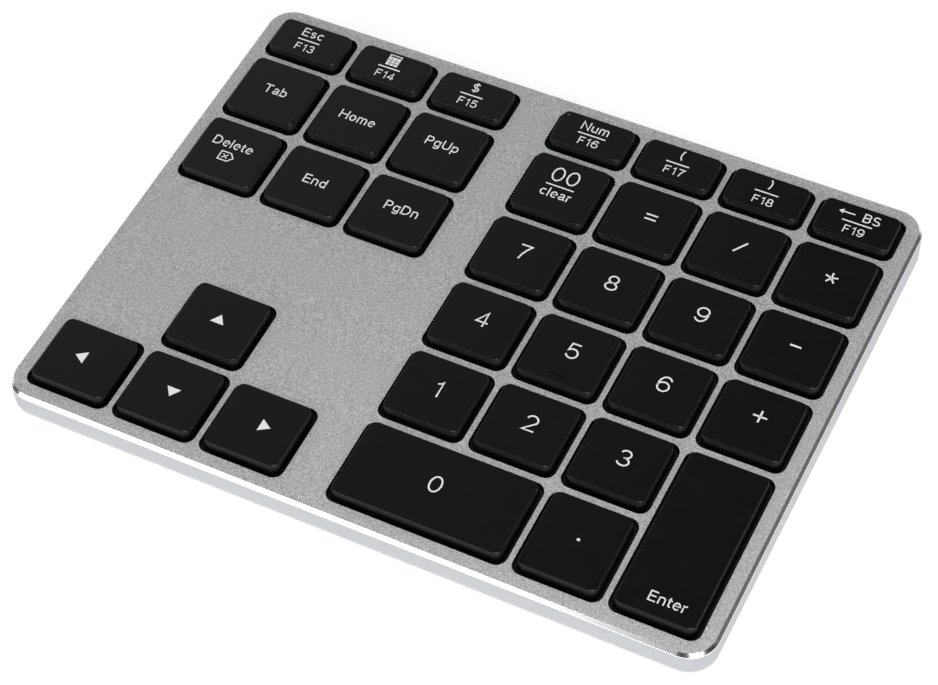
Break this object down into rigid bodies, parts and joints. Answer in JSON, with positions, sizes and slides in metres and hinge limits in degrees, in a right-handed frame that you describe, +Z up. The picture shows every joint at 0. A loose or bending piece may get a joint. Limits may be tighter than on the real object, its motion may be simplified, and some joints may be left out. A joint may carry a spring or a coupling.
{
  "type": "numeric keypad",
  "caption": "Flat wedge-shaped wireless numeric keypad with low-travel black keys under a silver metal deck plate on a white housing.",
  "frame": {"origin": "middle of the footprint, on the surface that the feet rest on", "axes": "+X to the right along the key rows, +Y to the back edge with the socket, +Z up"},
  "size_m": [0.1464, 0.112, 0.0105],
  "materials": {
    "anodised_plate": "bead-blasted and anodised, satin",
    "key_plastic": "fine matt texture",
    "housing_plastic": "smooth satin moulding",
    "foot_rubber": "matt",
    "screw_steel": "zinc plated",
    "plate_steel": "rolled sheet",
    "membrane_film": "black printed film",
    "scissor_plastic": "satin black moulding",
    "dome_silicone": "satin black",
    "board_laminate": "solder mask, satin",
    "chip_plastic": "matt moulding",
    "shield_metal": "tinned sheet",
    "socket_plastic": "satin moulding",
    "battery_foil": "pouch foil, satin",
    "lead_sheath": "satin sheath",
    "led_package": "satin moulding",
    "lens_plastic": "frosted light pipe",
    "wire_steel": "drawn wire"
  },
  "bodies": {
    "case": {"deck_plate": "anodised_plate", "bottom_housing": "housing_plastic", "rubber_feet": "foot_rubber", "case_screws": "screw_steel", "switch_plate": "plate_steel", "membrane_sheet": "membrane_film", "plate_rivets": "screw_steel", "indicator_led": "led_package", "scissor_outer_frames": "scissor_plastic", "scissor_inner_frames": "scissor_plastic", "rubber_domes": "dome_silicone", "controller_board": "board_laminate", "radio_module": "shield_metal", "board_components": "chip_plastic", "membrane_connector": "socket_plastic", "battery_connector": "socket_plastic", "battery_cell": "battery_foil", "battery_leads": "lead_sheath", "usb_socket_shell": "shield_metal", "usb_socket_tongue": "socket_plastic", "power_switch_body": "shield_metal"},
    "key_body_escape": {"key_escape": "key_plastic"},
    "key_body_calculator": {"key_calculator": "key_plastic"},
    "key_body_dollar": {"key_dollar": "key_plastic"},
    "key_body_num_lock": {"key_num_lock": "key_plastic", "indicator_lens": "lens_plastic"},
    "key_body_open_bracket": {"key_open_bracket": "key_plastic"},
    "key_body_close_bracket": {"key_close_bracket": "key_plastic"},
    "key_body_backspace": {"key_backspace": "key_plastic"},
    "key_body_tab": {"key_tab": "key_plastic"},
    "key_body_home": {"key_home": "key_plastic"},
    "key_body_page_up": {"key_page_up": "key_plastic"},
    "key_body_delete": {"key_delete": "key_plastic"},
    "key_body_end": {"key_end": "key_plastic"},
    "key_body_page_down": {"key_page_down": "key_plastic"},
    "key_body_up": {"key_up": "key_plastic"},
    "key_body_left": {"key_left": "key_plastic"},
    "key_body_down": {"key_down": "key_plastic"},
    "key_body_right": {"key_right": "key_plastic"},
    "key_body_double_zero": {"key_double_zero": "key_plastic"},
    "key_body_equals": {"key_equals": "key_plastic"},
    "key_body_divide": {"key_divide": "key_plastic"},
    "key_body_multiply": {"key_multiply": "key_plastic"},
    "key_body_7": {"key_7": "key_plastic"},
    "key_body_8": {"key_8": "key_plastic"},
    "key_body_9": {"key_9": "key_plastic"},
    "key_body_minus": {"key_minus": "key_plastic"},
    "key_body_4": {"key_4": "key_plastic"},
    "key_body_5": {"key_5": "key_plastic"},
    "key_body_6": {"key_6": "key_plastic"},
    "key_body_plus": {"key_plus": "key_plastic"},
    "key_body_1": {"key_1": "key_plastic"},
    "key_body_2": {"key_2": "key_plastic"},
    "key_body_3": {"key_3": "key_plastic"},
    "key_body_0": {"key_0": "key_plastic"},
    "key_body_point": {"key_point": "key_plastic"},
    "key_body_enter": {"key_enter": "key_plastic"},
    "zero_key_stabiliser_body": {"zero_key_stabiliser": "wire_steel"},
    "enter_key_stabiliser_body": {"enter_key_stabiliser": "wire_steel"},
    "switch_knob": {"power_switch_knob": "key_plastic"}
  },
  "joints": [
    {"name": "press_escape", "type": "slide", "parent": "case", "child": "key_body_escape", "axis": [0, 0.0196, -0.9998], "range_m": [0, 0.0016], "stiffness_N_per_m": 250, "springref_m": -0.0003, "deforming": ["rubber_domes", "scissor_outer_frames", "scissor_inner_frames"]},
    {"name": "press_calculator", "type": "slide", "parent": "case", "child": "key_body_calculator", "axis": [0, 0.0196, -0.9998], "range_m": [0, 0.0016], "stiffness_N_per_m": 250, "springref_m": -0.0003, "deforming": ["rubber_domes", "scissor_outer_frames", "scissor_inner_frames"]},
    {"name": "press_dollar", "type": "slide", "parent": "case", "child": "key_body_dollar", "axis": [0, 0.0196, -0.9998], "range_m": [0, 0.0016], "stiffness_N_per_m": 250, "springref_m": -0.0003, "deforming": ["rubber_domes", "scissor_outer_frames", "scissor_inner_frames"]},
    {"name": "press_num_lock", "type": "slide", "parent": "case", "child": "key_body_num_lock", "axis": [0, 0.0196, -0.9998], "range_m": [0, 0.0016], "stiffness_N_per_m": 250, "springref_m": -0.0003, "deforming": ["rubber_domes", "scissor_outer_frames", "scissor_inner_frames"]},
    {"name": "press_open_bracket", "type": "slide", "parent": "case", "child": "key_body_open_bracket", "axis": [0, 0.0196, -0.9998], "range_m": [0, 0.0016], "stiffness_N_per_m": 250, "springref_m": -0.0003, "deforming": ["rubber_domes", "scissor_outer_frames", "scissor_inner_frames"]},
    {"name": "press_close_bracket", "type": "slide", "parent": "case", "child": "key_body_close_bracket", "axis": [0, 0.0196, -0.9998], "range_m": [0, 0.0016], "stiffness_N_per_m": 250, "springref_m": -0.0003, "deforming": ["rubber_domes", "scissor_outer_frames", "scissor_inner_frames"]},
    {"name": "press_backspace", "type": "slide", "parent": "case", "child": "key_body_backspace", "axis": [0, 0.0196, -0.9998], "range_m": [0, 0.0016], "stiffness_N_per_m": 250, "springref_m": -0.0003, "deforming": ["rubber_domes", "scissor_outer_frames", "scissor_inner_frames"]},
    {"name": "press_tab", "type": "slide", "parent": "case", "child": "key_body_tab", "axis": [0, 0.0196, -0.9998], "range_m": [0, 0.0016], "stiffness_N_per_m": 250, "springref_m": -0.0003, "deforming": ["rubber_domes", "scissor_outer_frames", "scissor_inner_frames"]},
    {"name": "press_home", "type": "slide", "parent": "case", "child": "key_body_home", "axis": [0, 0.0196, -0.9998], "range_m": [0, 0.0016], "stiffness_N_per_m": 250, "springref_m": -0.0003, "deforming": ["rubber_domes", "scissor_outer_frames", "scissor_inner_frames"]},
    {"name": "press_page_up", "type": "slide", "parent": "case", "child": "key_body_page_up", "axis": [0, 0.0196, -0.9998], "range_m": [0, 0.0016], "stiffness_N_per_m": 250, "springref_m": -0.0003, "deforming": ["rubber_domes", "scissor_outer_frames", "scissor_inner_frames"]},
    {"name": "press_delete", "type": "slide", "parent": "case", "child": "key_body_delete", "axis": [0, 0.0196, -0.9998], "range_m": [0, 0.0016], "stiffness_N_per_m": 250, "springref_m": -0.0003, "deforming": ["rubber_domes", "scissor_outer_frames", "scissor_inner_frames"]},
    {"name": "press_end", "type": "slide", "parent": "case", "child": "key_body_end", "axis": [0, 0.0196, -0.9998], "range_m": [0, 0.0016], "stiffness_N_per_m": 250, "springref_m": -0.0003, "deforming": ["rubber_domes", "scissor_outer_frames", "scissor_inner_frames"]},
    {"name": "press_page_down", "type": "slide", "parent": "case", "child": "key_body_page_down", "axis": [0, 0.0196, -0.9998], "range_m": [0, 0.0016], "stiffness_N_per_m": 250, "springref_m": -0.0003, "deforming": ["rubber_domes", "scissor_outer_frames", "scissor_inner_frames"]},
    {"name": "press_up", "type": "slide", "parent": "case", "child": "key_body_up", "axis": [0, 0.0196, -0.9998], "range_m": [0, 0.0016], "stiffness_N_per_m": 250, "springref_m": -0.0003, "deforming": ["rubber_domes", "scissor_outer_frames", "scissor_inner_frames"]},
    {"name": "press_left", "type": "slide", "parent": "case", "child": "key_body_left", "axis": [0, 0.0196, -0.9998], "range_m": [0, 0.0016], "stiffness_N_per_m": 250, "springref_m": -0.0003, "deforming": ["rubber_domes", "scissor_outer_frames", "scissor_inner_frames"]},
    {"name": "press_down", "type": "slide", "parent": "case", "child": "key_body_down", "axis": [0, 0.0196, -0.9998], "range_m": [0, 0.0016], "stiffness_N_per_m": 250, "springref_m": -0.0003, "deforming": ["rubber_domes", "scissor_outer_frames", "scissor_inner_frames"]},
    {"name": "press_right", "type": "slide", "parent": "case", "child": "key_body_right", "axis": [0, 0.0196, -0.9998], "range_m": [0, 0.0016], "stiffness_N_per_m": 250, "springref_m": -0.0003, "deforming": ["rubber_domes", "scissor_outer_frames", "scissor_inner_frames"]},
    {"name": "press_double_zero", "type": "slide", "parent": "case", "child": "key_body_double_zero", "axis": [0, 0.0196, -0.9998], "range_m": [0, 0.0016], "stiffness_N_per_m": 250, "springref_m": -0.0003, "deforming": ["rubber_domes", "scissor_outer_frames", "scissor_inner_frames"]},
    {"name": "press_equals", "type": "slide", "parent": "case", "child": "key_body_equals", "axis": [0, 0.0196, -0.9998], "range_m": [0, 0.0016], "stiffness_N_per_m": 250, "springref_m": -0.0003, "deforming": ["rubber_domes", "scissor_outer_frames", "scissor_inner_frames"]},
    {"name": "press_divide", "type": "slide", "parent": "case", "child": "key_body_divide", "axis": [0, 0.0196, -0.9998], "range_m": [0, 0.0016], "stiffness_N_per_m": 250, "springref_m": -0.0003, "deforming": ["rubber_domes", "scissor_outer_frames", "scissor_inner_frames"]},
    {"name": "press_multiply", "type": "slide", "parent": "case", "child": "key_body_multiply", "axis": [0, 0.0196, -0.9998], "range_m": [0, 0.0016], "stiffness_N_per_m": 250, "springref_m": -0.0003, "deforming": ["rubber_domes", "scissor_outer_frames", "scissor_inner_frames"]},
    {"name": "press_7", "type": "slide", "parent": "case", "child": "key_body_7", "axis": [0, 0.0196, -0.9998], "range_m": [0, 0.0016], "stiffness_N_per_m": 250, "springref_m": -0.0003, "deforming": ["rubber_domes", "scissor_outer_frames", "scissor_inner_frames"]},
    {"name": "press_8", "type": "slide", "parent": "case", "child": "key_body_8", "axis": [0, 0.0196, -0.9998], "range_m": [0, 0.0016], "stiffness_N_per_m": 250, "springref_m": -0.0003, "deforming": ["rubber_domes", "scissor_outer_frames", "scissor_inner_frames"]},
    {"name": "press_9", "type": "slide", "parent": "case", "child": "key_body_9", "axis": [0, 0.0196, -0.9998], "range_m": [0, 0.0016], "stiffness_N_per_m": 250, "springref_m": -0.0003, "deforming": ["rubber_domes", "scissor_outer_frames", "scissor_inner_frames"]},
    {"name": "press_minus", "type": "slide", "parent": "case", "child": "key_body_minus", "axis": [0, 0.0196, -0.9998], "range_m": [0, 0.0016], "stiffness_N_per_m": 250, "springref_m": -0.0003, "deforming": ["rubber_domes", "scissor_outer_frames", "scissor_inner_frames"]},
    {"name": "press_4", "type": "slide", "parent": "case", "child": "key_body_4", "axis": [0, 0.0196, -0.9998], "range_m": [0, 0.0016], "stiffness_N_per_m": 250, "springref_m": -0.0003, "deforming": ["rubber_domes", "scissor_outer_frames", "scissor_inner_frames"]},
    {"name": "press_5", "type": "slide", "parent": "case", "child": "key_body_5", "axis": [0, 0.0196, -0.9998], "range_m": [0, 0.0016], "stiffness_N_per_m": 250, "springref_m": -0.0003, "deforming": ["rubber_domes", "scissor_outer_frames", "scissor_inner_frames"]},
    {"name": "press_6", "type": "slide", "parent": "case", "child": "key_body_6", "axis": [0, 0.0196, -0.9998], "range_m": [0, 0.0016], "stiffness_N_per_m": 250, "springref_m": -0.0003, "deforming": ["rubber_domes", "scissor_outer_frames", "scissor_inner_frames"]},
    {"name": "press_plus", "type": "slide", "parent": "case", "child": "key_body_plus", "axis": [0, 0.0196, -0.9998], "range_m": [0, 0.0016], "stiffness_N_per_m": 250, "springref_m": -0.0003, "deforming": ["rubber_domes", "scissor_outer_frames", "scissor_inner_frames"]},
    {"name": "press_1", "type": "slide", "parent": "case", "child": "key_body_1", "axis": [0, 0.0196, -0.9998], "range_m": [0, 0.0016], "stiffness_N_per_m": 250, "springref_m": -0.0003, "deforming": ["rubber_domes", "scissor_outer_frames", "scissor_inner_frames"]},
    {"name": "press_2", "type": "slide", "parent": "case", "child": "key_body_2", "axis": [0, 0.0196, -0.9998], "range_m": [0, 0.0016], "stiffness_N_per_m": 250, "springref_m": -0.0003, "deforming": ["rubber_domes", "scissor_outer_frames", "scissor_inner_frames"]},
    {"name": "press_3", "type": "slide", "parent": "case", "child": "key_body_3", "axis": [0, 0.0196, -0.9998], "range_m": [0, 0.0016], "stiffness_N_per_m": 250, "springref_m": -0.0003, "deforming": ["rubber_domes", "scissor_outer_frames", "scissor_inner_frames"]},
    {"name": "press_0", "type": "slide", "parent": "case", "child": "key_body_0", "axis": [0, 0.0196, -0.9998], "range_m": [0, 0.0016], "stiffness_N_per_m": 250, "springref_m": -0.0003, "deforming": ["rubber_domes", "scissor_outer_frames", "scissor_inner_frames"]},
    {"name": "press_point", "type": "slide", "parent": "case", "child": "key_body_point", "axis": [0, 0.0196, -0.9998], "range_m": [0, 0.0016], "stiffness_N_per_m": 250, "springref_m": -0.0003, "deforming": ["rubber_domes", "scissor_outer_frames", "scissor_inner_frames"]},
    {"name": "press_enter", "type": "slide", "parent": "case", "child": "key_body_enter", "axis": [0, 0.0196, -0.9998], "range_m": [0, 0.0016], "stiffness_N_per_m": 250, "springref_m": -0.0003, "deforming": ["rubber_domes", "scissor_outer_frames", "scissor_inner_frames"]},
    {"name": "swing_zero_key_stabiliser", "type": "hinge", "parent": "case", "child": "zero_key_stabiliser_body", "pos_m": [0.01349, -0.04937, 0.00478], "axis": [-1, 0, 0], "range_deg": [0, 13.73]},
    {"name": "swing_enter_key_stabiliser", "type": "hinge", "parent": "case", "child": "enter_key_stabiliser_body", "pos_m": [0.06739, -0.03376, 0.00509], "axis": [0, -0.9998, -0.0196], "range_deg": [0, 13.73]},
    {"name": "power_switch_slide", "type": "slide", "parent": "case", "child": "switch_knob", "axis": [1, 0, 0], "range_m": [0, 0.002]}
  ],
  "couplings": [
    {"joint": "swing_zero_key_stabiliser", "follows": "press_0", "rad_per_m": 148.64},
    {"joint": "swing_enter_key_stabiliser", "follows": "press_enter", "rad_per_m": 148.64}
  ]
}
